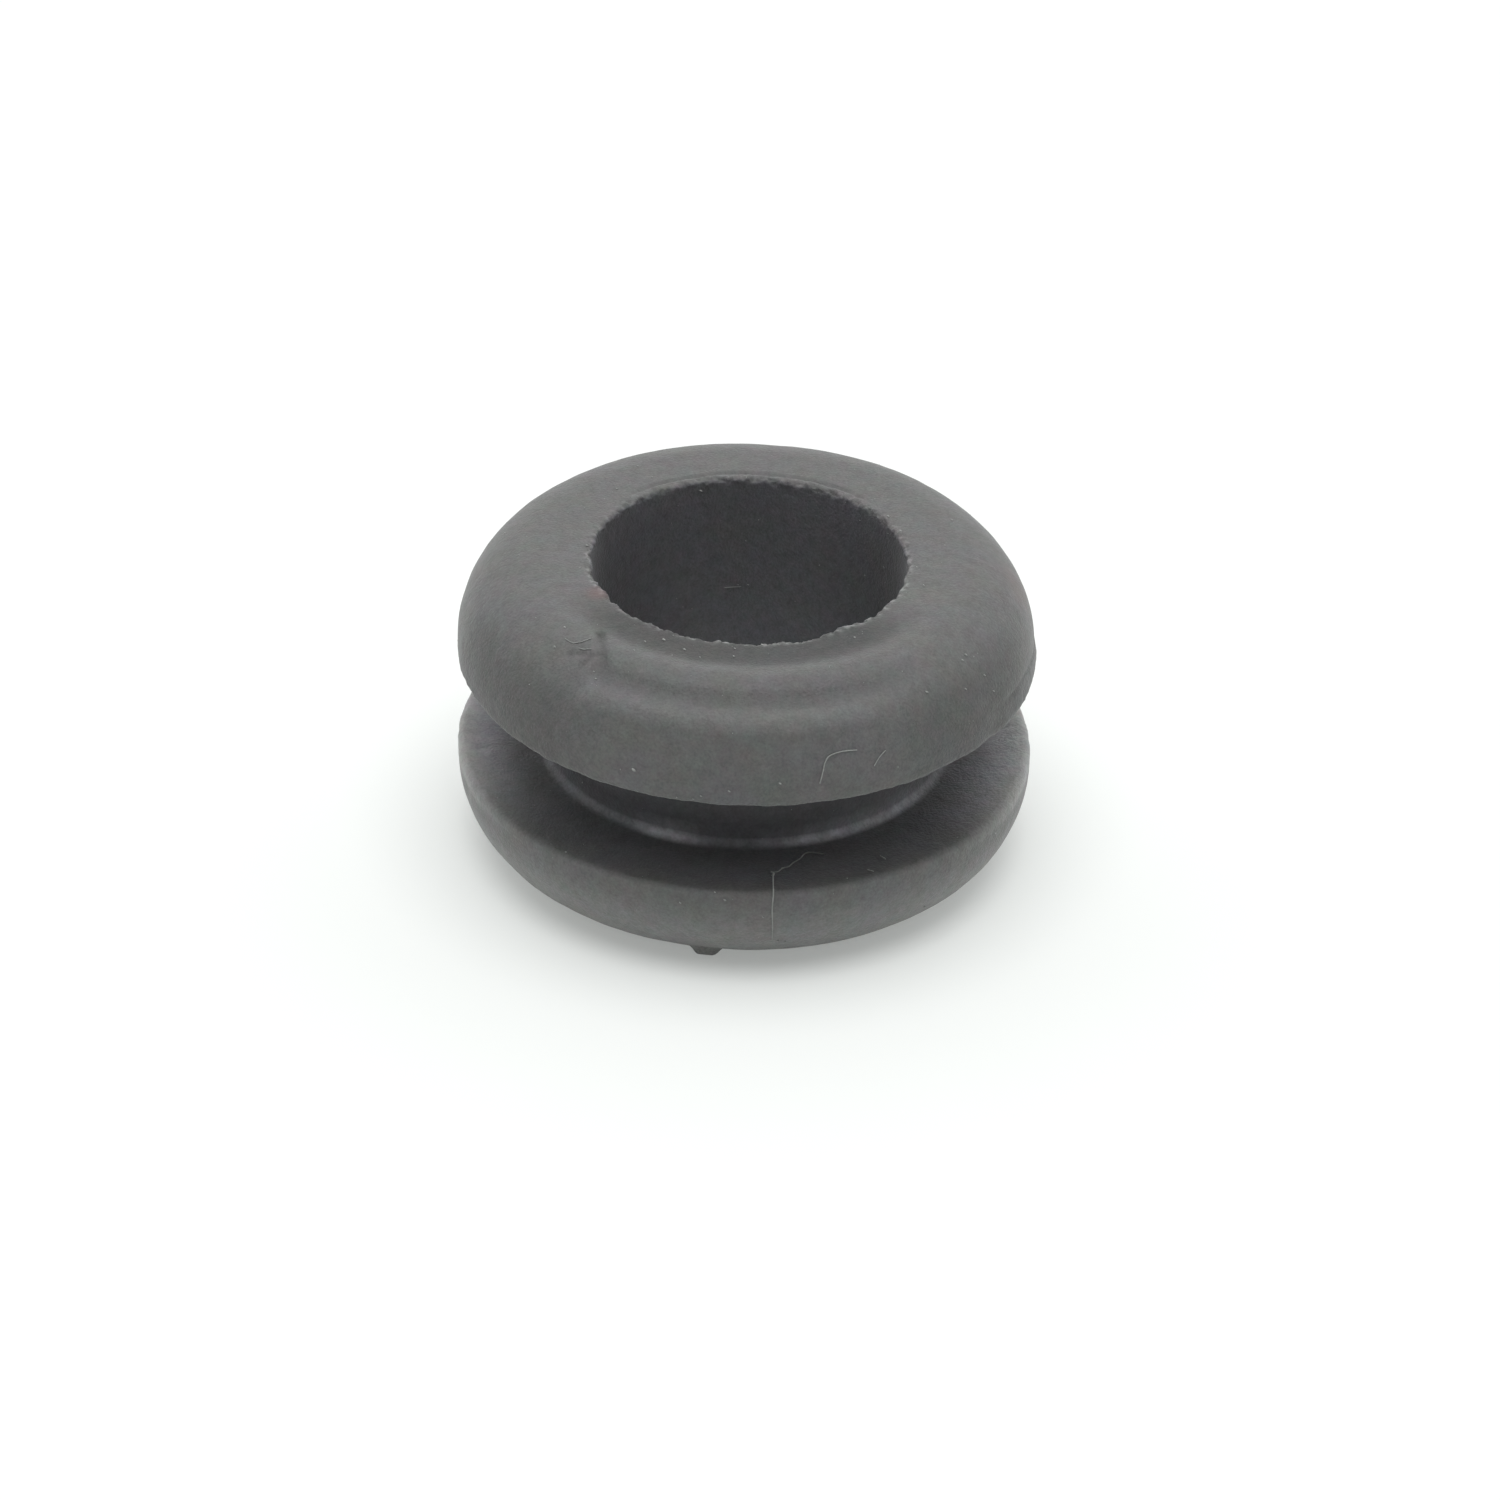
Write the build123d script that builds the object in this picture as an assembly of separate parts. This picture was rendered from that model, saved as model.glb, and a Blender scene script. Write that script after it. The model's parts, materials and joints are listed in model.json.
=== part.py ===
from build123d import *
import os

# A moulded rubber mounting bushing: one solid ring that snaps into a round panel hole.
# Two rounded flanges stand either side of a groove, and a plain bore runs through.
# Millimetres. The axis is Z, and the origin is at the centre of the face it stands on.

# Sizes across the ring
outer_diameter = 14.7       # over either flange
bore_diameter = 8.0         # the straight hole
groove_diameter = 10.3      # floor of the groove, inside the panel's hole

# Sizes along the axis
groove_width = 2.5          # between the two lips, where the panel's edge sits
flange_thickness = 2.75     # from a flange's lip to its end face

# The section of one flange, the same above and below the groove
end_land = 1.25             # flat ring of the end face, from the bore out to the shoulder
side_band = 0.25            # straight side between the lip and the shoulder
lip_radius = 0.2            # edge beside the groove
groove_relief = 0.06        # the groove is this much deeper at its floor on each side
groove_corner = 0.25        # fillet where the flange grows out of the groove floor
bore_edge = 0.15            # edge at each mouth of the bore

# Radii from the axis, and heights from the middle of the groove
outer_radius = outer_diameter / 2
bore_radius = bore_diameter / 2
groove_radius = groove_diameter / 2
lip_height = groove_width / 2
end_height = lip_height + flange_thickness
shoulder_base = lip_height + lip_radius + side_band
shoulder_height = end_height - shoulder_base
shoulder_radius = bore_radius + end_land
shoulder_width = outer_radius - shoulder_radius


def half_section():
    """Section of the ring from the middle of the groove up to the end face."""
    floor_top = (groove_radius, lip_height + groove_relief)
    lip = (outer_radius, lip_height)
    mouth = (bore_radius, end_height)
    with BuildSketch(Plane.XZ) as section:
        with BuildLine():
            Line((bore_radius, 0), (groove_radius, 0))
            Line((groove_radius, 0), floor_top)
            Line(floor_top, lip)
            Line(lip, (outer_radius, shoulder_base))
            EllipticalCenterArc(
                (shoulder_radius, shoulder_base), shoulder_width, shoulder_height, arc_size=90
            )
            Line((shoulder_radius, end_height), mouth)
            Line(mouth, (bore_radius, 0))
        make_face()
        for corner, radius in ((floor_top, groove_corner), (lip, lip_radius), (mouth, bore_edge)):
            fillet(section.vertices().sort_by_distance(corner)[0], radius)
    return section.sketch


def bushing():
    """The whole section turned about the axis, standing on its lower end face."""
    upper = half_section()
    section = upper + mirror(upper, about=Plane.XY)
    return Pos(0, 0, end_height) * revolve(section, Axis.Z)


os.makedirs("parts", exist_ok=True)
ring = bushing()
ring.label = "bushing"
export_step(ring, "parts/bushing.step")
print("overall", ring.bounding_box().size, "volume", round(ring.volume, 2), "solids", len(ring.solids()))
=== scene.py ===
import json
import math

import bpy
from mathutils import Matrix, Vector


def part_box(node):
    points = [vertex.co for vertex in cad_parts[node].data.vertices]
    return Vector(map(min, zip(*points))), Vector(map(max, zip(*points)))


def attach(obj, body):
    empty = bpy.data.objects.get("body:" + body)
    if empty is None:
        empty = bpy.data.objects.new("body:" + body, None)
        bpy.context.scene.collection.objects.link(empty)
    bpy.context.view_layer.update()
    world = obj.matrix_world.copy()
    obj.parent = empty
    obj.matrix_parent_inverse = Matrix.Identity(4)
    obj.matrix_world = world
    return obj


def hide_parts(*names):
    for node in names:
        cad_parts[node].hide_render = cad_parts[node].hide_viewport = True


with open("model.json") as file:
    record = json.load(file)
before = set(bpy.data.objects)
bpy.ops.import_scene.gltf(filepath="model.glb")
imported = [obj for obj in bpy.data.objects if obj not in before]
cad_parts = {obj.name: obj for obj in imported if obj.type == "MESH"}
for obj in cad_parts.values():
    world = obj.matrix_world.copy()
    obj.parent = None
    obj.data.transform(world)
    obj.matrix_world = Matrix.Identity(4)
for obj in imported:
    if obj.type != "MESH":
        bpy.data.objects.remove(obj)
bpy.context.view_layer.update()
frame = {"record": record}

# Everything is worked out in millimetres and shrunk to metres at the end.
mm = 0.001
lowCorner, highCorner = (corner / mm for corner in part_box("bushing"))
outerRadius = highCorner.x
fullHeight = highCorner.z
boreRadius = next(m["dims"]["r_mm"] for m in frame["record"]["mounts"] if m["name"] == "bore")


# Helpers for node trees, geometry and shader alike
def addNode(tree, kind, links=None, **settings):
    made = tree.nodes.new(kind)
    for name, value in settings.items():
        setattr(made, name, value)
    for name, value in (links or {}).items():
        socket = made.inputs[name]
        if isinstance(value, bpy.types.NodeSocket):
            tree.links.new(value, socket)
        elif value is not None:
            socket.default_value = value
    return made


def calc(tree, operation, *values):
    return addNode(tree, "ShaderNodeMath", dict(enumerate(values)), operation=operation).outputs[0]


def product(tree, first, *others):
    for other in others:
        first = calc(tree, "MULTIPLY", first, other)
    return first


def total(tree, first, *others):
    for other in others:
        first = calc(tree, "ADD", first, other)
    return first


def combine(tree, x, y, z):
    return addNode(tree, "ShaderNodeCombineXYZ", {"X": x, "Y": y, "Z": z}).outputs[0]


def vectorCalc(tree, operation, first, second):
    made = addNode(tree, "ShaderNodeVectorMath", {0: first, 1: second}, operation=operation)
    return made.outputs["Value" if operation in ("DOT_PRODUCT", "DISTANCE") else "Vector"]


def scaled(tree, vector, factor):
    return addNode(tree, "ShaderNodeVectorMath", {0: vector, "Scale": factor}, operation="SCALE").outputs[0]


def smoothStep(tree, value, low, high, atLow=0.0, atHigh=1.0):
    made = addNode(
        tree, "ShaderNodeMapRange", {0: value, 1: low, 2: high, 3: atLow, 4: atHigh},
        interpolation_type="SMOOTHSTEP")
    return made.outputs[0]


def window(tree, value, startLow, startHigh, endLow, endHigh):
    opening = smoothStep(tree, value, startLow, startHigh)
    return product(tree, opening, smoothStep(tree, value, endLow, endHigh, 1.0, 0.0))


def noise(tree, place, scale, detail=2.0, roughness=0.5):
    made = addNode(
        tree, "ShaderNodeTexNoise",
        {"Vector": place, "Scale": scale, "Detail": detail, "Roughness": roughness})
    return made.outputs[0]


# Noise spread about zero, mostly between -1 and 1.
def evenNoise(tree, place, scale, detail=2.0, roughness=0.5):
    return calc(tree, "MULTIPLY_ADD", noise(tree, place, scale, detail, roughness), 4.0, -2.0)


def shifted(tree, place, x, y, z):
    return vectorCalc(tree, "ADD", place, (x, y, z))


def drawnCurve(tree, value, points):
    made = addNode(tree, "ShaderNodeFloatCurve", {"Value": value})
    curve = made.mapping.curves[0]
    while len(curve.points) < len(points):
        curve.points.new(0.5, 0.5)
    for point, (x, y) in zip(curve.points, points):
        point.location = (x, y)
    made.mapping.extend = "HORIZONTAL"
    made.mapping.update()
    return made.outputs[0]


# A drawn curve whose points are given in their own units, from low to high.
def spreadCurve(tree, value, low, high, points):
    part = calc(tree, "DIVIDE", calc(tree, "SUBTRACT", value, low), high - low)
    return drawnCurve(tree, part, [((x - low) / (high - low), y) for x, y in points])


# Angle from the front in degrees, positive to the right, and distance from the axis.
def ringPlace(tree, place):
    part = addNode(tree, "ShaderNodeSeparateXYZ", {0: place}).outputs
    turn = calc(tree, "ARCTAN2", part["X"], calc(tree, "MULTIPLY", part["Y"], -1.0))
    radius = calc(tree, "SQRT",
        total(tree, calc(tree, "POWER", part["X"], 2.0), calc(tree, "POWER", part["Y"], 2.0)))
    return calc(tree, "MULTIPLY", turn, 180 / math.pi), radius, part["Z"]


# How near a place is to a circle about the axis: 1 on it and 0 at the reach.
def nearCircle(tree, radius, height, circleRadius, circleHeight, reach):
    across = calc(tree, "POWER", calc(tree, "SUBTRACT", radius, circleRadius), 2.0)
    up = calc(tree, "POWER", calc(tree, "SUBTRACT", height, circleHeight), 2.0)
    return smoothStep(tree, calc(tree, "SQRT", total(tree, across, up)), 0.0, reach, 1.0, 0.0)


def nearPoint(tree, place, point, reach, flat=0.0):
    return smoothStep(tree, vectorCalc(tree, "DISTANCE", place, point), flat, reach, 1.0, 0.0)


def nearSegment(tree, place, start, end, reach):
    along = Vector(end) - Vector(start)
    offset = vectorCalc(tree, "SUBTRACT", place, start)
    part = calc(tree, "DIVIDE", vectorCalc(tree, "DOT_PRODUCT", offset, along), along.length_squared)
    foot = scaled(tree, along, addNode(tree, "ShaderNodeClamp", {0: part}).outputs[0])
    return smoothStep(tree, vectorCalc(tree, "DISTANCE", offset, foot), 0.0, reach, 1.0, 0.0)


def newTree(name, kind, inputs, outputs):
    tree = bpy.data.node_groups.new(name, kind)
    for socketName, socketType, value in inputs:
        socket = tree.interface.new_socket(socketName, in_out="INPUT", socket_type=socketType)
        if value is not None:
            socket.default_value = value
    for socketName, socketType in outputs:
        tree.interface.new_socket(socketName, in_out="OUTPUT", socket_type=socketType)
    return tree, tree.nodes.new("NodeGroupInput").outputs, tree.nodes.new("NodeGroupOutput").inputs


# Ends a geometry tree: millimetres to metres, real geometry, one material.
def finishTree(tree, geometry, material, result, smooth=True):
    shrunk = addNode(tree, "GeometryNodeTransform", {"Geometry": geometry, "Scale": (mm, mm, mm)})
    shaded = addNode(tree, "GeometryNodeSetShadeSmooth",
        {"Geometry": shrunk.outputs[0], "Shade Smooth": smooth})
    real = addNode(tree, "GeometryNodeRealizeInstances", {"Geometry": shaded.outputs[0]})
    done = addNode(tree, "GeometryNodeSetMaterial", {"Geometry": real.outputs[0], "Material": material})
    tree.links.new(done.outputs[0], result[0])


# Runs a geometry tree on an object and keeps the result as a plain mesh object.
def runTree(startObject, tree, values, name):
    modifier = startObject.modifiers.new(tree.name, "NODES")
    modifier.node_group = tree
    for item in tree.interface.items_tree:
        if item.in_out == "INPUT" and item.name in values:
            modifier[item.identifier] = values[item.name]
    bpy.context.view_layer.update()
    graph = bpy.context.evaluated_depsgraph_get()
    mesh = bpy.data.meshes.new_from_object(startObject.evaluated_get(graph))
    bpy.data.objects.remove(startObject)
    while len(mesh.materials) > 1 and mesh.materials[0] is None:
        mesh.materials.pop(index=0)
    mesh.name = name
    piece = bpy.data.objects.new(name, mesh)
    bpy.context.scene.collection.objects.link(piece)
    print(name, len(mesh.polygons), "faces")
    return piece


def meshObject(name, points, edges=(), faces=()):
    mesh = bpy.data.meshes.new(name)
    mesh.from_pydata(points, edges, faces)
    made = bpy.data.objects.new(name, mesh)
    bpy.context.scene.collection.objects.link(made)
    return made


def storeValues(made, name, values):
    made.data.attributes.new(name, "FLOAT", "POINT").data.foreach_set("value", values)


# A point from its angle in degrees, its distance from the axis and its height.
def onRing(angle, radius, height):
    turn = math.radians(angle)
    return (radius * math.sin(turn), -radius * math.cos(turn), height)


# Shared shader effects
def grainGroup():
    tree, given, result = newTree("fineGrain", "ShaderNodeTree", [
        ("Place", "NodeSocketVector", None),
        ("Amount", "NodeSocketFloat", 0.1),
    ], [("Value", "NodeSocketFloat"), ("Height", "NodeSocketFloat")])
    fine = evenNoise(tree, given["Place"], 14.0, 2.0, 0.6)
    broad = evenNoise(tree, given["Place"], 3.5, 3.0, 0.55)
    mixed = total(tree, product(tree, fine, 0.5), product(tree, broad, 0.5))
    tree.links.new(calc(tree, "MULTIPLY_ADD", mixed, given["Amount"], 1.0), result["Value"])
    tree.links.new(mixed, result["Height"])
    return tree


def mottleGroup():
    tree, given, result = newTree("tintMottle", "ShaderNodeTree", [
        ("Place", "NodeSocketVector", None),
        ("Amount", "NodeSocketFloat", 0.5),
    ], [("Color", "NodeSocketColor")])
    lean = evenNoise(tree, given["Place"], 1.3, 2.0, 0.6)
    small = evenNoise(tree, shifted(tree, given["Place"], 7, 3, 5), 4.0, 1.0)
    both = product(tree, total(tree, product(tree, lean, 0.7), product(tree, small, 0.5)), given["Amount"])
    warm = calc(tree, "MULTIPLY_ADD", both, 0.05, 1.0)
    green = calc(tree, "MULTIPLY_ADD", both, -0.04, 1.0)
    blueLean = evenNoise(tree, shifted(tree, given["Place"], 2, 9, 1), 1.0, 2.0, 0.6)
    blue = calc(tree, "MULTIPLY_ADD", product(tree, blueLean, given["Amount"]), 0.05, 1.0)
    made = addNode(tree, "ShaderNodeCombineColor", {0: warm, 1: green, 2: blue})
    tree.links.new(made.outputs[0], result["Color"])
    return tree


fineGrain = grainGroup()
tintMottle = mottleGroup()


def useGroup(tree, group, links):
    made = addNode(tree, "ShaderNodeGroup", node_tree=group)
    for name, value in links.items():
        if isinstance(value, bpy.types.NodeSocket):
            tree.links.new(value, made.inputs[name])
        else:
            made.inputs[name].default_value = value
    return made.outputs


def newMaterial(name):
    material = bpy.data.materials.new(name)
    material.use_nodes = True
    tree = material.node_tree
    place = scaled(tree, addNode(tree, "ShaderNodeTexCoord").outputs["Object"], 1 / mm)
    return material, tree, tree.nodes["Principled BSDF"], place


def mixColors(tree, factor, first, second, blend="MIX"):
    made = addNode(tree, "ShaderNodeMix", data_type="RGBA", blend_type=blend)
    for socket, value in zip((made.inputs[0], made.inputs[6], made.inputs[7]), (factor, first, second)):
        if isinstance(value, bpy.types.NodeSocket):
            tree.links.new(value, socket)
        else:
            socket.default_value = value
    return made.outputs[2]


def grey(tree, value):
    return addNode(tree, "ShaderNodeCombineColor", {0: value, 1: value, 2: value}).outputs[0]


# The rubber
rubberLook = {
    "base": (0.125, 0.126, 0.124, 1), "roughness": 0.58, "shine": 0.3, "film": 0.16, "grain": 0.26,
    "mottle": 1.0,
    "redSpots": [((6.9, 0.4, 7.1), 1.3, 0.3), ((-3.75, -1.9, 7.95), 0.5, 0.6)],
    "cool": (0.98, 0.975, 1.07, 1), "red": (0.16, 0.10, 0.095, 1),
}


def rubberMaterial():
    material, tree, shader, place = newMaterial("blackRubber")
    look = rubberLook
    _, radius, height = ringPlace(tree, place)
    grain = useGroup(tree, fineGrain, {"Place": place, "Amount": look["grain"]})
    tint = useGroup(tree, tintMottle, {"Place": place, "Amount": look["mottle"]})
    # painted light and shade stored on the ring, with the grit of the bore's mouth, lighten and darken the
    # rubber's colour
    haze = addNode(tree, "ShaderNodeAttribute", attribute_name="haze").outputs["Fac"]
    value = product(tree, grain["Value"], haze)
    color = mixColors(tree, 1.0, look["base"], grey(tree, value), "MULTIPLY")
    color = mixColors(tree, 1.0, color, tint["Color"], "MULTIPLY")
    # a cooler black in the bore and the groove
    groove = product(tree, window(tree, height, 2.6, 2.75, 5.15, 5.3),
        smoothStep(tree, radius, 6.6, 7.2, 1.0, 0.0))
    shaded = calc(tree, "MAXIMUM", groove,
        smoothStep(tree, radius, boreRadius + 0.005, boreRadius + 0.05, 1.0, 0.0))
    color = mixColors(tree, product(tree, shaded, 0.8), color,
        mixColors(tree, 1.0, color, look["cool"], "MULTIPLY"))
    for point, reach, strength in look["redSpots"]:
        spot = product(tree, nearPoint(tree, place, point, reach), strength)
        color = mixColors(tree, spot, color, look["red"])
    tree.links.new(color, shader.inputs["Base Color"])
    shader.inputs["Roughness"].default_value = look["roughness"]
    shader.inputs["Specular IOR Level"].default_value = look["shine"]
    shader.inputs["Sheen Weight"].default_value = look["film"]
    shader.inputs["Sheen Roughness"].default_value = 0.35
    bump = addNode(tree, "ShaderNodeBump", {"Height": grain["Height"], "Strength": 0.5, "Distance": 0.00002})
    tree.links.new(bump.outputs[0], shader.inputs["Normal"])
    return material


# The bushing itself, turned from its section
bushing = {
    "grooveRadius": 5.15, "grooveWidth": 2.5, "grooveRelief": 0.06, "grooveCorner": 0.25,
    "endLand": 1.25, "sideBand": 0.25, "lipRadius": 0.2, "boreEdge": 0.15,
    "turns": 620, "outOfRound": 0.025, "unevenSkin": 0.012, "raggedMouth": 0.085,
    "raggedLip": 0.03, "frontFolds": 0.24, "cornerFlash": 0.07,
    # pushed in (or out when negative): place, flat middle, reach, depth
    "dents": [
        ((6.75, 3.1, 2.35), 0.0, 0.5, -0.05), ((7.2, 2.0, 2.6), 0.0, 0.25, 0.08),
        ((-6.95, 2.0, 2.6), 0.0, 0.22, 0.07), ((-6.6, -1.0, 2.74), 0.0, 0.2, 0.05),
        ((6.7, 0.65, 2.74), 0.0, 0.14, 0.08), ((-0.80, -6.15, 0.15), 0.22, 0.46, -0.20),
    ],
    # scored lines: start, end, reach, depth
    "scores": [
        ((-3.62, -3.8, 8.0), (-3.50, -4.9, 7.83), 0.2, 0.1),
        ((-4.35, -4.4, 7.76), (-3.85, -4.55, 7.84), 0.14, 0.05),
        ((-4.1, -4.85, 7.72), (-3.65, -4.6, 7.88), 0.14, 0.05),
    ],
    # the upper lip's doubled edge at the right: angle span, height of the crease, depth
    "doubledLip": {"span": (55.0, 66.0, 88.0, 100.0), "crease": 5.95, "depth": 0.05, "flare": 0.06},
}


def arcPoints(centre, width, height, start, sweep, steps):
    angles = [math.radians(start + sweep * step / steps) for step in range(steps + 1)]
    return [(centre[0] + width * math.cos(a), centre[1] + height * math.sin(a)) for a in angles]


def linePoints(start, end, steps):
    return [
        (start[0] + (end[0] - start[0]) * step / steps, start[1] + (end[1] - start[1]) * step / steps)
        for step in range(1, steps)
    ]


# From the bore's mouth outwards to the groove floor, heights measured from the groove's middle.
def flangeOutline(mouthSteps, endSteps, shoulderSteps, faceSteps, cornerSteps):
    b = bushing
    top = fullHeight / 2
    lip = b["grooveWidth"] / 2
    shoulderStart = boreRadius + b["endLand"]
    shoulderFoot = lip + b["lipRadius"] + b["sideBand"]
    edge, corner = b["boreEdge"], b["grooveCorner"]
    points = arcPoints((boreRadius + edge, top - edge), edge, edge, 180, -90, mouthSteps)
    ringEnd = (boreRadius + edge + 0.3, top)
    points += linePoints(points[-1], ringEnd, mouthSteps) + [ringEnd]
    shoulder = arcPoints(
        (shoulderStart, shoulderFoot), outerRadius - shoulderStart, top - shoulderFoot, 90, -90,
        shoulderSteps)
    points += linePoints(ringEnd, shoulder[0], endSteps) + shoulder
    lipArc = arcPoints((outerRadius - b["lipRadius"], lip + b["lipRadius"]), b["lipRadius"], b["lipRadius"],
        0, -90, 4)
    points += linePoints(shoulder[-1], lipArc[0], 3) + lipArc
    rise = lip + b["grooveRelief"]
    cornerArc = arcPoints((b["grooveRadius"] + corner, rise - corner), corner, corner, 90, 90, cornerSteps)
    return points + linePoints(lipArc[-1], cornerArc[0], faceSteps) + cornerArc


# The closed section: upper flange, groove floor, lower flange, then back up the bore.
def sectionOutline():
    upper = flangeOutline(6, 9, 38, 7, 3)
    lower = [(radius, -height) for radius, height in reversed(flangeOutline(4, 5, 22, 8, 6))]
    floor = linePoints(upper[-1], lower[0], 6)
    nearMouth = [(boreRadius, upper[0][1] - drop) for drop in (0.5, 0.3, 0.17, 0.07)]
    bore = linePoints(lower[-1], nearMouth[0], 9) + nearMouth
    return [(radius, 0, height + fullHeight / 2) for radius, height in upper + floor + lower + bore]


def surfaceLengths(points):
    lengths, reached = [], 0.0
    for i, point in enumerate(points):
        reached += (Vector(point) - Vector(points[max(i - 1, 0)])).length
        lengths.append(reached)
    whole = reached + (Vector(points[0]) - Vector(points[-1])).length
    return [length if points[i][0] > boreRadius + 0.001 or i == 0 else length - whole for i,
        length in enumerate(lengths)]


# How far the skin stands off the true section, in millimetres.
def skinOffset(tree, given, place, along):
    b = bushing
    top = fullHeight
    angle, radius, height = ringPlace(tree, place)
    far = shifted(tree, place, 11, 4, 8)
    parts = [product(tree, evenNoise(tree, place, 0.22, 1.0), given["Out Of Round"])]
    parts.append(product(tree, evenNoise(tree, far, 0.9, 3.0), given["Uneven Skin"]))
    # torn moulding edge round both mouths of the bore
    mouth = total(
        tree, nearCircle(tree, radius, height, boreRadius + 0.03, top - 0.03, 0.24),
        nearCircle(tree, radius, height, boreRadius + 0.03, 0.03, 0.2))
    teeth = total(tree, evenNoise(tree, place, 3.2, 3.0, 0.65),
        product(tree, evenNoise(tree, far, 0.8, 1.0), 0.6))
    parts.append(product(tree, mouth, teeth, given["Ragged Mouth"]))
    behind = smoothStep(tree, calc(tree, "ABSOLUTE", angle), 130.0, 150.0)
    furrow = nearCircle(tree, radius, height,
        total(tree, product(tree, evenNoise(tree, far, 1.1), 0.04), boreRadius + 0.27), top, 0.09)
    parts.append(product(tree, furrow, behind, -0.07))
    # the lips are a little ragged too
    lips = total(
        tree, nearCircle(tree, radius, height, outerRadius - 0.07, top / 2 + 1.33, 0.3),
        nearCircle(tree, radius, height, outerRadius - 0.07, top / 2 - 1.33, 0.3))
    parts.append(product(tree, lips, evenNoise(tree, far, 1.9, 3.0, 0.6), given["Ragged Lip"]))
    # shallow folds across the front of the upper flange
    inner = spreadCurve(
        tree, along, 0.0, 2.4, [(0, 0.5), (0.25, 0.48), (0.6, 0.35), (1.0, 0.22), (1.35, 0.42),
            (1.75, 0.66), (2.4, 0.5)])
    innerSpan = window(tree, angle, -72.0, -42.0, 38.0, 68.0)
    parts.append(product(tree, calc(tree, "SUBTRACT", inner, 0.5), innerSpan, given["Front Folds"]))
    outer = spreadCurve(
        tree, along, 1.7, 4.2, [(1.7, 0.5), (2.1, 0.3), (2.42, 0.1), (2.8, 0.65), (3.15, 1.0), (3.45, 0.7),
            (3.8, 0.5), (4.2, 0.5)])
    outerSpan = window(tree, angle, -38.5, -34.0, 20.0, 44.0)
    parts.append(product(tree, calc(tree, "SUBTRACT", outer, 0.5), outerSpan, given["Front Folds"]))
    # moulding flash left in the groove's lower corner
    flash = nearCircle(tree, radius, height, b["grooveRadius"] + 0.06, top / 2 - 1.22, 0.16)
    flashSpan = flashCurve(tree, angle)
    parts.append(product(tree, flash, flashSpan,
        total(tree, product(tree, noise(tree, far, 2.4, 3.0), 1.2), 0.3), given["Corner Flash"]))
    # single marks
    for point, flat, reach, depth in b["dents"]:
        parts.append(product(tree, nearPoint(tree, place, point, reach, flat), -depth))
    for start, end, reach, depth in b["scores"]:
        parts.append(product(tree, nearSegment(tree, place, start, end, reach), -depth))
    doubled = b["doubledLip"]
    side = window(tree, angle, *doubled["span"])
    slope = calc(tree, "MULTIPLY_ADD", angle, -0.006, doubled["crease"] + 0.45)
    crease = smoothStep(tree, calc(tree, "ABSOLUTE", calc(tree, "SUBTRACT", height, slope)), 0.0, 0.1, 1.0,
        0.0)
    parts.append(product(tree, crease, side, smoothStep(tree, radius, 7.0, 7.2), -doubled["depth"]))
    lipEdge = nearCircle(tree, radius, height, outerRadius, 5.45, 0.45)
    parts.append(product(tree, lipEdge, side, doubled["flare"]))
    scuff = nearPoint(tree, place, (-4.2, -4.3, 7.8), 0.75)
    parts.append(product(tree, scuff, evenNoise(tree, place, 4.5, 3.0), 0.02))
    return total(tree, *parts)


# Amount of flash round the groove, strongest just left of the front.
def flashCurve(tree, angle):
    return spreadCurve(tree, angle, -90.0, 90.0, [
        (-90, 0.1), (-50, 0.15), (-34, 0.25), (-28, 0.8), (-23, 1.0), (-15, 1.0), (-11, 0.4), (0, 0.25),
        (8, 0.4), (14, 0.7), (25, 0.8), (35, 0.6), (50, 0.45), (62, 0.2), (90, 0.05)])
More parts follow.
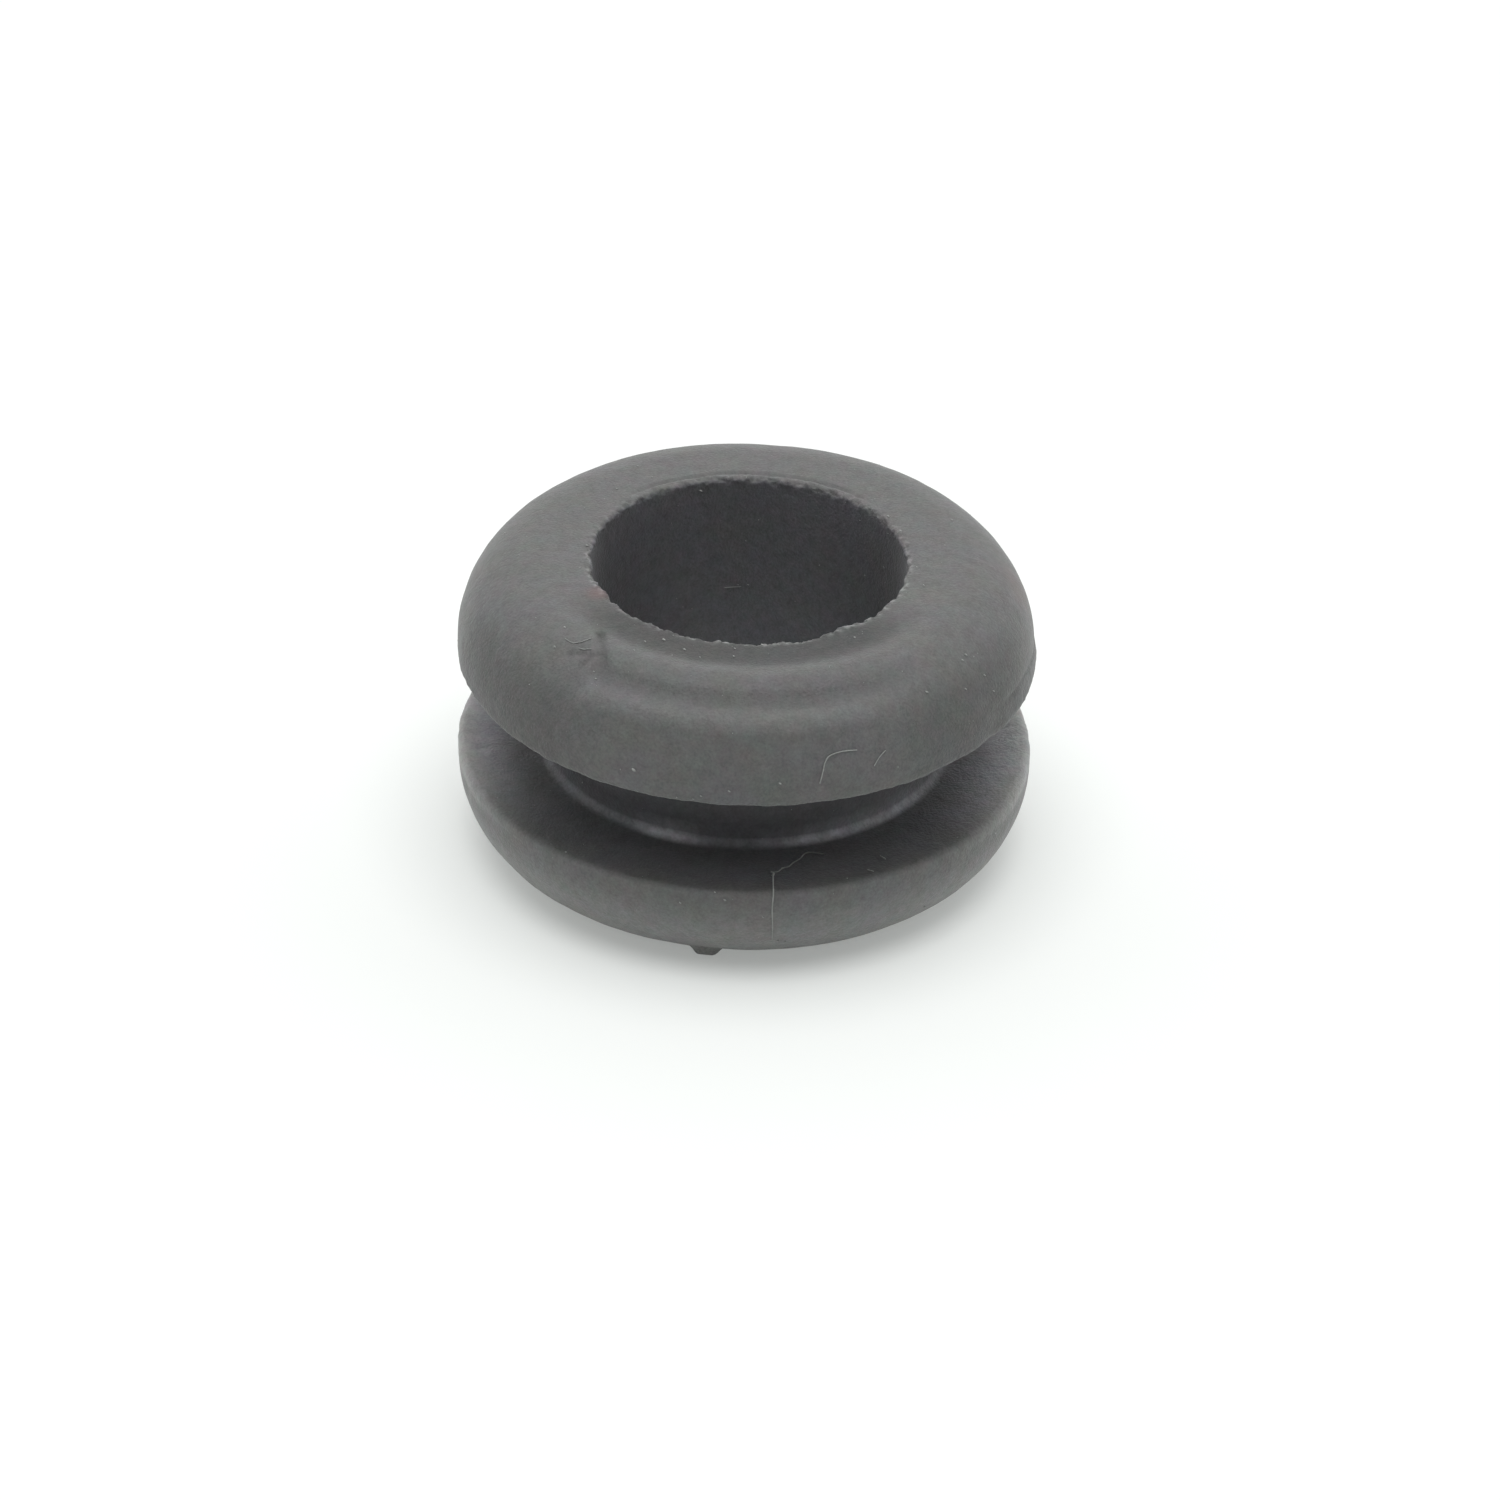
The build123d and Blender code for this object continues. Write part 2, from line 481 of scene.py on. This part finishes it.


# How much the rubber's colour is lightened or darkened, 1 being plain: painted light and shade over most of
# the ring, grit round the bore's mouth, and paler patches along the groove's lower corner.
def paintedLightAndGritAmount(tree, place, along):
    angle, radius, height = ringPlace(tree, place)
    # painted shade near the bore at the front, and a painted shaded valley and painted highlight band across
    # the front shoulder, laid over the folds in the shape
    inner = spreadCurve(
        tree, along, 0.0, 2.2, [(0, 0.26), (0.5, 0.2), (0.9, 0.24), (1.25, 0.4), (1.7, 0.5), (2.2, 0.5)])
    innerSpan = window(tree, angle, -72.0, -42.0, 38.0, 68.0)
    outer = spreadCurve(
        tree, along, 1.7, 4.2, [(1.7, 0.5), (2.1, 0.46), (2.42, 0.4), (2.8, 0.54), (3.2, 0.56), (3.45, 0.5),
            (4.2, 0.5)])
    outerSpan = window(tree, angle, -38.5, -34.0, 20.0, 44.0)
    onTop = product(tree, calc(tree, "SUBTRACT", inner, 0.5), innerSpan)
    below = product(tree, calc(tree, "SUBTRACT", outer, 0.5), outerSpan)
    flash = nearCircle(tree, radius, height, bushing["grooveRadius"] + 0.08, fullHeight / 2 - 1.2, 0.22)
    patchy = total(tree, product(tree, noise(tree, place, 3.0, 3.0), 1.6), 0.1)
    pale = product(tree, flash, flashCurve(tree, angle), patchy, 4.5)
    # paler up the groove floor to the right
    film = nearCircle(tree, radius, height, bushing["grooveRadius"], fullHeight / 2 - 0.95, 0.4)
    pale = total(tree, pale, product(tree, film, window(tree, angle, 15.0, 35.0, 50.0, 72.0), 0.7))
    outside = smoothStep(tree, radius, boreRadius + 0.002, boreRadius + 0.03)
    mouth = nearCircle(tree, radius, height, boreRadius + 0.05, fullHeight - 0.03, 0.2)
    gritty = smoothStep(tree, calc(tree, "ABSOLUTE", angle), 60.0, 130.0, 1.5, 0.35)
    grit = product(tree, mouth, smoothStep(tree, noise(tree, place, 5.5, 2.0), 0.42, 0.66), gritty)
    # painted shade down in the groove, and on the lower flange's top face at the front, darkest toward its
    # edge
    ahead = smoothStep(tree, calc(tree, "ABSOLUTE", angle), 45.0, 80.0, 1.0, 0.0)
    floorPart = product(tree, window(tree, height, 2.85, 3.0, 5.15, 5.3),
        window(tree, radius, 4.5, 4.8, 6.4, 7.1), -0.4)
    facePart = product(
        tree, window(tree, height, 2.6, 2.68, 2.85, 3.0), window(tree, radius, 4.5, 5.6, 7.26, 7.33),
        smoothStep(tree, radius, 5.6, 7.1, -0.05, -0.5), ahead)
    paintedShade = total(tree, floorPart, facePart)
    # painted shade on the side below the folds, between the front and the far edges
    flank = window(tree, calc(tree, "ABSOLUTE", angle), 25.0, 45.0, 68.0, 84.0)
    paintedShade = total(tree, paintedShade, product(tree, flank, window(tree, along, 2.6, 3.6, 5.0, 5.3), -0.25))
    # painted shade along the scored lines
    for start, end, reach, _ in bushing["scores"]:
        paintedShade = total(tree, paintedShade, product(tree, nearSegment(tree, place, start, end, reach), -0.28))
    # painted bounce light low down on the lower flange, and painted light in the far parts of the groove
    low = product(tree, smoothStep(tree, height, 1.2, 2.7, 0.65, 0.0), outside)
    aside = calc(tree, "ABSOLUTE", angle)
    away = product(tree, smoothStep(tree, aside, 45.0, 85.0, 0.0, 1.35),
        smoothStep(tree, aside, 100.0, 135.0, 1.0, 0.25))
    groove = product(tree, away, smoothStep(tree, radius, 5.4, 6.6), window(tree, height, 2.2, 2.5, 2.9, 3.1))
    # painted light and shade on the bore's wall: darker at the front and sides, palest at the back
    wall = smoothStep(tree, calc(tree, "ABSOLUTE", angle), 100.0, 165.0, -0.35, 0.35)
    wall = product(tree, wall, calc(tree, "SUBTRACT", 1.0, outside))
    return total(
        tree, product(tree, total(tree, onTop, below), outside, 1.6), pale, grit, paintedShade, low, groove, wall,
        1.0)


def turningTree():
    tree, given, result = newTree("turnedRing", "GeometryNodeTree", [
        ("Outline", "NodeSocketGeometry", None),
        ("Turns", "NodeSocketInt", 600),
        ("Out Of Round", "NodeSocketFloat", 0.02),
        ("Uneven Skin", "NodeSocketFloat", 0.008),
        ("Ragged Mouth", "NodeSocketFloat", 0.05),
        ("Ragged Lip", "NodeSocketFloat", 0.02),
        ("Front Folds", "NodeSocketFloat", 0.06),
        ("Corner Flash", "NodeSocketFloat", 0.07),
        ("Material", "NodeSocketMaterial", None),
    ], [("Ring", "NodeSocketGeometry")])
    stations = addNode(
        tree, "GeometryNodeAttributeDomainSize", {0: given["Outline"]},
        component="MESH").outputs["Point Count"]
    rows = calc(tree, "ADD", stations, 1)
    grid = addNode(tree, "GeometryNodeMeshGrid", {
        "Size X": 1.0, "Size Y": 1.0,
        "Vertices X": calc(tree, "ADD", given["Turns"], 1), "Vertices Y": rows})
    index = addNode(tree, "GeometryNodeInputIndex").outputs[0]
    column = calc(tree, "FLOOR", calc(tree, "DIVIDE", calc(tree, "ADD", index, 0.5), rows))
    row = calc(tree, "SUBTRACT", index, calc(tree, "MULTIPLY", column, rows))
    station = calc(tree, "FLOORED_MODULO", calc(tree, "ADD", row, 0.25), stations)
    outlinePlace = addNode(tree, "GeometryNodeInputPosition").outputs[0]
    outlineAlong = addNode(tree, "GeometryNodeInputNamedAttribute", {"Name": "along"},
        data_type="FLOAT").outputs[0]
    placeSample = addNode(
        tree, "GeometryNodeSampleIndex",
        {"Geometry": given["Outline"], "Value": outlinePlace, "Index": station},
        data_type="FLOAT_VECTOR", domain="POINT").outputs[0]
    alongSample = addNode(
        tree, "GeometryNodeSampleIndex",
        {"Geometry": given["Outline"], "Value": outlineAlong, "Index": station},
        data_type="FLOAT", domain="POINT").outputs[0]
    section = addNode(tree, "ShaderNodeSeparateXYZ", {0: placeSample}).outputs
    turn = calc(tree, "MULTIPLY", calc(tree, "DIVIDE", column, given["Turns"]), 2 * math.pi)
    turned = combine(
        tree, product(tree, section["X"], calc(tree, "SINE", turn)),
        product(tree, section["X"], calc(tree, "COSINE", turn), -1.0), section["Z"])
    kept = addNode(
        tree, "GeometryNodeStoreNamedAttribute",
        {"Geometry": grid.outputs["Mesh"], "Name": "along", "Value": alongSample}, data_type="FLOAT",
        domain="POINT")
    ring = addNode(tree, "GeometryNodeSetPosition", {"Geometry": kept.outputs[0], "Position": turned})
    closed = addNode(tree, "GeometryNodeMergeByDistance", {"Geometry": ring.outputs[0], "Distance": 0.0005})
    closed = addNode(tree, "GeometryNodeFlipFaces", {"Mesh": closed.outputs[0]})
    place = addNode(tree, "GeometryNodeInputPosition").outputs[0]
    normal = addNode(tree, "GeometryNodeInputNormal").outputs[0]
    along = addNode(tree, "GeometryNodeInputNamedAttribute", {"Name": "along"}, data_type="FLOAT").outputs[0]
    # store the painted light and shade, with the grit of the bore's mouth, for the rubber's colour
    lightAndGritStored = addNode(
        tree, "GeometryNodeStoreNamedAttribute",
        {"Geometry": closed.outputs[0], "Name": "haze", "Value": paintedLightAndGritAmount(tree, place, along)},
        data_type="FLOAT", domain="POINT")
    offset = skinOffset(tree, given, place, along)
    skinned = addNode(
        tree, "GeometryNodeSetPosition",
        {"Geometry": lightAndGritStored.outputs[0], "Offset": scaled(tree, normal, offset)})
    settled = addNode(tree, "ShaderNodeSeparateXYZ", {0: place}).outputs
    above = combine(tree, settled["X"], settled["Y"], calc(tree, "MAXIMUM", settled["Z"], 0.0))
    standing = addNode(tree, "GeometryNodeSetPosition", {"Geometry": skinned.outputs[0], "Position": above})
    finishTree(tree, standing.outputs[0], given["Material"], result)
    return tree


def makeBushing(material):
    points = sectionOutline()
    edges = [(i, (i + 1) % len(points)) for i in range(len(points))]
    outline = meshObject("sectionOutline", points, edges)
    storeValues(outline, "along", surfaceLengths(points))
    b = bushing
    return runTree(outline, turningTree(), {
        "Turns": b["turns"], "Out Of Round": b["outOfRound"], "Uneven Skin": b["unevenSkin"],
        "Ragged Mouth": b["raggedMouth"], "Ragged Lip": b["raggedLip"], "Front Folds": b["frontFolds"],
        "Corner Flash": b["cornerFlash"], "Material": material,
    }, "bushing_ring")


rubber = rubberMaterial()
ring = makeBushing(rubber)
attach(ring, "root")
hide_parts("bushing")


# Dust specks
dust = {
    "seed": 7, "density": 0.4, "smallest": 0.018, "largest": 0.05, "placedScale": 1.75,
    "color": (0.30, 0.31, 0.30, 1),
    # angle, distance from the axis, height, size
    "placed": [
        (-52, 5.72, 7.94, 0.055), (-49.4, 6.24, 7.73, 0.06), (-61, 6.01, 7.84, 0.035),
        (-89.8, 5.81, 7.92, 0.035),
        (-35, 6.42, 7.61, 0.05), (-31.1, 5.35, 8.0, 0.045), (-31.7, 4.77, 8.0, 0.045),
        (-27.1, 4.48, 8.0, 0.07),
        (-19.1, 4.64, 8.0, 0.06), (-161.3, 4.0, 7.7, 0.07), (-21.4, 7.34, 5.96, 0.09),
        (-7.9, 7.35, 5.54, 0.05),
        (-9.4, 7.35, 5.42, 0.04), (-2.5, 7.35, 5.75, 0.06), (55.1, 6.57, 7.49, 0.055),
        (58.6, 6.99, 6.99, 0.05),
        (51.7, 6.98, 7.0, 0.05), (41.8, 6.74, 7.32, 0.065), (59.4, 7.2, 6.54, 0.05), (41.3, 7.05, 1.12, 0.08),
        (-95.6, 4.12, 8.0, 0.06), (-180, 4.0, 4.77, 0.035), (-176.3, 4.0, 4.77, 0.03),
        (-155.2, 4.0, 4.27, 0.03),
        (-4.8, 7.29, 2.7, 0.045), (-2.8, 7.35, 2.52, 0.06), (-11.5, 7.35, 2.3, 0.05),
        (4.7, 7.33, 2.02, 0.045),
        (60.5, 7.35, 2.27, 0.06), (46.3, 7.31, 1.86, 0.03), (8.0, 7.05, 1.1, 0.055), (9.6, 7.01, 1.04, 0.04),
        (7.2, 7.33, 5.98, 0.055), (-13.6, 4.83, 8.0, 0.04), (-3.7, 4.65, 8.0, 0.05), (-3.7, 4.33, 8.0, 0.045),
        (36.8, 4.49, 8.0, 0.05), (5.5, 4.1, 8.0, 0.07), (113.3, 5.63, 7.96, 0.05), (100.4, 5.06, 8.0, 0.035),
        (87.2, 4.26, 8.0, 0.05), (76.4, 4.55, 8.0, 0.05), (122.6, 4.2, 8.0, 0.06), (111.7, 4.15, 8.0, 0.07),
        (-104.1, 6.43, 7.6, 0.05), (-146.7, 5.34, 8.0, 0.045), (-146.9, 4.68, 8.0, 0.04),
        (-133.5, 4.74, 8.0, 0.05),
        (57.0, 6.52, 7.52, 0.06), (-12.6, 7.34, 5.4, 0.04), (-36.4, 6.3, 7.68, 0.035),
    ],
}


def dustTree():
    tree, given, result = newTree("dustSpecks", "GeometryNodeTree", [
        ("Placed", "NodeSocketGeometry", None),
        ("Ring", "NodeSocketObject", None),
        ("Density", "NodeSocketFloat", 0.2),
        ("Smallest", "NodeSocketFloat", 0.015),
        ("Largest", "NodeSocketFloat", 0.035),
        ("Seed", "NodeSocketInt", 1),
        ("Material", "NodeSocketMaterial", None),
    ], [("Specks", "NodeSocketGeometry")])
    source = addNode(tree, "GeometryNodeObjectInfo", {"Object": given["Ring"]}, transform_space="ORIGINAL")
    skin = addNode(
        tree, "GeometryNodeTransform",
        {"Geometry": source.outputs["Geometry"], "Scale": (1 / mm, 1 / mm, 1 / mm)}).outputs[0]
    place = addNode(tree, "GeometryNodeInputPosition").outputs[0]
    angle, radius, height = ringPlace(tree, place)
    patches = smoothStep(tree, noise(tree, shifted(tree, place, 5, 1, 2), 0.45, 2.0), 0.4, 0.7, 0.15, 3.0)
    lowDown = smoothStep(tree, height, 0.3, 1.0)
    # thickest on the front of the bore's mouth, thin inside the bore
    front = smoothStep(tree, calc(tree, "ABSOLUTE", angle), 30.0, 80.0, 1.0, 0.25)
    mouth = product(tree, nearCircle(tree, radius, height, boreRadius + 0.15, fullHeight, 0.6), front, 16.0)
    outside = smoothStep(tree, radius, boreRadius - 0.05, boreRadius + 0.05, 0.3, 1.0)
    spread = product(tree, given["Density"], total(tree, patches, mouth), lowDown, outside)
    scatter = addNode(
        tree, "GeometryNodeDistributePointsOnFaces",
        {"Mesh": skin, "Density": spread, "Seed": given["Seed"]}, distribute_method="RANDOM")
    size = addNode(
        tree, "FunctionNodeRandomValue", {2: given["Smallest"], 3: given["Largest"], "Seed": given["Seed"]},
        data_type="FLOAT").outputs[1]
    loose = addNode(
        tree, "GeometryNodeStoreNamedAttribute",
        {"Geometry": scatter.outputs["Points"], "Name": "size", "Value": size}, data_type="FLOAT",
        domain="POINT")
    nearest = addNode(
        tree, "GeometryNodeProximity", {"Geometry": skin, "Sample Position": place}, target_element="FACES")
    landed = addNode(
        tree, "GeometryNodeSetPosition",
        {"Geometry": given["Placed"], "Position": nearest.outputs["Position"]})
    points = addNode(tree, "GeometryNodeMeshToPoints", {"Mesh": landed.outputs[0], "Radius": 0.01})
    joined = addNode(tree, "GeometryNodeJoinGeometry")
    tree.links.new(loose.outputs[0], joined.inputs[0])
    tree.links.new(points.outputs[0], joined.inputs[0])
    chip = addNode(tree, "GeometryNodeMeshIcoSphere", {"Radius": 0.5, "Subdivisions": 1})
    lumps = scaled(tree, addNode(tree, "GeometryNodeInputNormal").outputs[0],
        product(tree, evenNoise(tree, place, 1.6, 1.0), 0.14))
    chip = addNode(tree, "GeometryNodeSetPosition", {"Geometry": chip.outputs["Mesh"], "Offset": lumps})
    sizeRead = addNode(tree, "GeometryNodeInputNamedAttribute", {"Name": "size"},
        data_type="FLOAT").outputs[0]
    stretch = addNode(
        tree, "FunctionNodeRandomValue", {0: (0.7, 0.6, 0.35), 1: (1.5, 1.0, 0.7), "Seed": given["Seed"]},
        data_type="FLOAT_VECTOR").outputs[0]
    turn = addNode(
        tree, "FunctionNodeRandomValue", {0: (0, 0, 0), 1: (6.28, 6.28, 6.28), "Seed": given["Seed"]},
        data_type="FLOAT_VECTOR").outputs[0]
    placed = addNode(tree, "GeometryNodeInstanceOnPoints", {
        "Points": joined.outputs[0], "Instance": chip.outputs[0],
        "Rotation": turn, "Scale": scaled(tree, stretch, sizeRead)})
    finishTree(tree, placed.outputs[0], given["Material"], result)
    return tree


def paleMaterial(name, color, grainAmount):
    material, tree, shader, place = newMaterial(name)
    grain = useGroup(tree, fineGrain, {"Place": place, "Amount": grainAmount})
    tree.links.new(mixColors(tree, 1.0, color, grey(tree, grain["Value"]), "MULTIPLY"),
        shader.inputs["Base Color"])
    shader.inputs["Roughness"].default_value = 0.75
    return material


def makeDust():
    spots = meshObject("placedSpecks", [onRing(*spot[:3]) for spot in dust["placed"]])
    storeValues(spots, "size", [spot[3] * dust["placedScale"] for spot in dust["placed"]])
    return runTree(spots, dustTree(), {
        "Ring": ring, "Density": dust["density"], "Smallest": dust["smallest"], "Largest": dust["largest"],
        "Seed": dust["seed"], "Material": paleMaterial("paleDust", dust["color"], 0.3),
    }, "dust_specks")


specks = makeDust()
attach(specks, "root")


# Lint fibres
lint = {
    "radius": 0.016, "lift": 0.012, "color": (0.27, 0.28, 0.27, 1),
    # each fibre: thickness, then angle, distance from the axis and height of its bends
    "fibres": [
        (1.0, [(14.9, 7.33, 5.9), (15.6, 7.29, 6.23), (16.0, 7.25, 6.4), (17.0, 7.2, 6.56),
            (19.5, 7.18, 6.62), (22.8, 7.19, 6.59)]),
        (0.8, [(26.1, 7.31, 6.1), (27.4, 7.27, 6.3), (28.8, 7.24, 6.42)]),
        (1.1, [(7.3, 6.5, 2.76), (6.9, 6.9, 2.73), (6.6, 7.3, 2.66), (6.4, 7.35, 2.3), (6.6, 7.3, 1.8),
            (6.9, 7.05, 1.15)]),
        (1.1, [(7.2, 6.45, 2.78), (8.4, 6.44, 2.8), (9.6, 6.3, 2.78), (11.2, 6.24, 2.8), (12.6, 6.08, 2.78),
            (14.5, 5.94, 2.8), (16.4, 5.72, 2.8), (18.4, 5.73, 2.8), (20.8, 5.88, 2.78)]),
        (1.6, [(6.9, 6.42, 2.78), (7.5, 6.52, 2.78), (7.0, 6.6, 2.78)]),
        (0.9, [(32.2, 6.55, 2.78), (32.5, 6.75, 2.76)]),
        (0.8, [(27.2, 6.95, 2.76), (27.9, 7.1, 2.75)]),
        (0.7, [(-48.6, 5.96, 7.86), (-46.2, 5.95, 7.86), (-44.6, 5.88, 7.88), (-43.2, 5.62, 7.96)]),
        (0.7, [(-43.6, 5.98, 7.85), (-41.8, 5.92, 7.87), (-40.6, 5.85, 7.9)]),
        (0.6, [(-177.5, 4.0, 4.72), (-171.0, 4.0, 4.7)]),
    ],
}


def lintTree():
    tree, given, result = newTree("lintFibres", "GeometryNodeTree", [
        ("Paths", "NodeSocketGeometry", None),
        ("Ring", "NodeSocketObject", None),
        ("Radius", "NodeSocketFloat", 0.012),
        ("Lift", "NodeSocketFloat", 0.01),
        ("Material", "NodeSocketMaterial", None),
    ], [("Fibres", "NodeSocketGeometry")])
    source = addNode(tree, "GeometryNodeObjectInfo", {"Object": given["Ring"]}, transform_space="ORIGINAL")
    skin = addNode(
        tree, "GeometryNodeTransform",
        {"Geometry": source.outputs["Geometry"], "Scale": (1 / mm, 1 / mm, 1 / mm)}).outputs[0]
    paths = addNode(tree, "GeometryNodeMeshToCurve", {"Mesh": given["Paths"]}).outputs[0]
    soft = addNode(tree, "GeometryNodeCurveSplineType", {"Curve": paths},
        spline_type="CATMULL_ROM").outputs[0]
    fine = addNode(tree, "GeometryNodeResampleCurve", {"Curve": soft, "Length": 0.05}, mode="LENGTH")
    place = addNode(tree, "GeometryNodeInputPosition").outputs[0]
    nearest = addNode(
        tree, "GeometryNodeProximity", {"Geometry": skin, "Sample Position": place}, target_element="FACES")
    normal = addNode(tree, "GeometryNodeInputNormal").outputs[0]
    facing = addNode(
        tree, "GeometryNodeSampleNearestSurface", {"Mesh": skin, "Value": normal, "Sample Position": place},
        data_type="FLOAT_VECTOR").outputs[0]
    wave = calc(tree, "MULTIPLY_ADD", noise(tree, place, 2.5), given["Lift"], given["Lift"])
    landed = addNode(tree, "GeometryNodeSetPosition", {
        "Geometry": fine.outputs[0], "Position": nearest.outputs["Position"],
        "Offset": scaled(tree, facing, wave)})
    width = addNode(tree, "GeometryNodeInputNamedAttribute", {"Name": "width"}, data_type="FLOAT").outputs[0]
    thickness = product(tree, width, given["Radius"], total(tree, noise(tree, place, 4.0), 0.5))
    outline = addNode(tree, "GeometryNodeCurvePrimitiveCircle", {"Resolution": 6, "Radius": 1.0})
    tube = addNode(tree, "GeometryNodeCurveToMesh", {
        "Curve": landed.outputs[0], "Profile Curve": outline.outputs["Curve"], "Scale": thickness,
        "Fill Caps": True})
    finishTree(tree, tube.outputs[0], given["Material"], result)
    return tree


def makeLint():
    points, edges, widths = [], [], []
    for width, bends in lint["fibres"]:
        edges += [(len(points) + i, len(points) + i + 1) for i in range(len(bends) - 1)]
        points += [onRing(*bend) for bend in bends]
        widths += [width] * len(bends)
    paths = meshObject("lintPaths", points, edges)
    storeValues(paths, "width", widths)
    return runTree(paths, lintTree(), {
        "Ring": ring, "Radius": lint["radius"], "Lift": lint["lift"],
        "Material": paleMaterial("paleLint", lint["color"], 0.2),
    }, "lint_fibres")


fibres = makeLint()
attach(fibres, "root")


# Floor, light and camera
studio = {
    "backdropColor": (0.97, 1.0, 0.975, 1), "backdropShare": 0.3,
    "floorSize": 3.0, "floorColor": (0.90, 0.92, 0.905, 1), "surround": 1.5, "frontSurround": 0.1,
    "lampSize": 0.6, "lampPlace": (0, -0.06, 0.6), "lampPower": 2.9,
}
cameraView = {
    "lens": 154.36, "distance": 164.83, "azimuth": 0.069, "elevation": 32.80, "roll": 1.623,
    "target": (0.168, -0.800, 2.746),
}


def makeFloor():
    material, tree, shader, _ = newMaterial("paleFloor")
    shader.inputs["Base Color"].default_value = studio["floorColor"]
    shader.inputs["Roughness"].default_value = 0.9
    shader.inputs["Specular IOR Level"].default_value = 0.1
    # the backdrop's own white, for the camera and for reflections
    white = addNode(tree, "ShaderNodeEmission", {"Color": studio["backdropColor"], "Strength": 1.0})
    path = addNode(tree, "ShaderNodeLightPath").outputs
    mirrored = calc(tree, "MAXIMUM", path["Is Glossy Ray"], path["Is Transmission Ray"])
    seen = product(tree, calc(tree, "MAXIMUM", path["Is Camera Ray"], mirrored), studio["backdropShare"])
    mixed = addNode(tree, "ShaderNodeMixShader", {0: seen, 1: shader.outputs[0], 2: white.outputs[0]})
    tree.links.new(mixed.outputs[0], tree.nodes["Material Output"].inputs["Surface"])
    half = studio["floorSize"] / 2
    corners = [(-half, -half, 0), (half, -half, 0), (half, half, 0), (-half, half, 0)]
    floor = meshObject("paleFloor", corners, faces=[(0, 1, 2, 3)])
    floor.data.materials.append(material)


def makeLight():
    world = bpy.data.worlds.new("studioWorld")
    bpy.context.scene.world = world
    world.use_nodes = True
    tree = world.node_tree
    path = addNode(tree, "ShaderNodeLightPath").outputs
    mirrored = calc(tree, "MAXIMUM", path["Is Glossy Ray"], path["Is Transmission Ray"])
    seen = calc(tree, "MAXIMUM", path["Is Camera Ray"], mirrored)
    background = tree.nodes["Background"]
    background.inputs["Color"].default_value = (1, 1, 1, 1)
    # softer and dimmer from the viewer's side than from the sides and behind
    facing = addNode(tree, "ShaderNodeSeparateXYZ",
        {0: addNode(tree, "ShaderNodeTexCoord").outputs["Generated"]})
    soft = smoothStep(tree, facing.outputs["Y"], -0.5, 0.2, studio["frontSurround"], studio["surround"])
    soft = product(tree, soft, smoothStep(tree, facing.outputs["Z"], 0.25, 0.9, 1.0, 0.4))
    strength = total(tree, seen, product(tree, soft, calc(tree, "SUBTRACT", 1.0, seen)))
    tree.links.new(strength, background.inputs["Strength"])
    lamp = bpy.data.lights.new("overheadLamp", "AREA")
    lamp.shape = "DISK"
    lamp.size = studio["lampSize"]
    lamp.energy = studio["lampPower"]
    holder = bpy.data.objects.new("overheadLamp", lamp)
    holder.location = studio["lampPlace"]
    holder.rotation_euler = (-holder.location).to_track_quat("-Z", "Y").to_euler()
    bpy.context.scene.collection.objects.link(holder)


def makeCamera():
    view = cameraView
    camera = bpy.data.cameras.new("studioCamera")
    camera.lens = view["lens"]
    camera.sensor_width = 36
    camera.clip_start = 0.01
    camera.clip_end = 20
    holder = bpy.data.objects.new("studioCamera", camera)
    bpy.context.scene.collection.objects.link(holder)
    azimuth, elevation = math.radians(view["azimuth"]), math.radians(view["elevation"])
    forward = Vector((
        math.sin(azimuth) * math.cos(elevation), math.cos(azimuth) * math.cos(elevation),
        -math.sin(elevation)))
    turn = forward.to_track_quat("-Z", "Y").to_matrix() @ Matrix.Rotation(math.radians(view["roll"]), 3, "Z")
    place = (Vector(view["target"]) - forward * view["distance"]) * mm
    holder.matrix_world = Matrix.Translation(place) @ turn.to_4x4()
    bpy.context.scene.camera = holder


makeFloor()
makeLight()
makeCamera()
bpy.context.scene.view_settings.view_transform = "Standard"
print("studio ready")
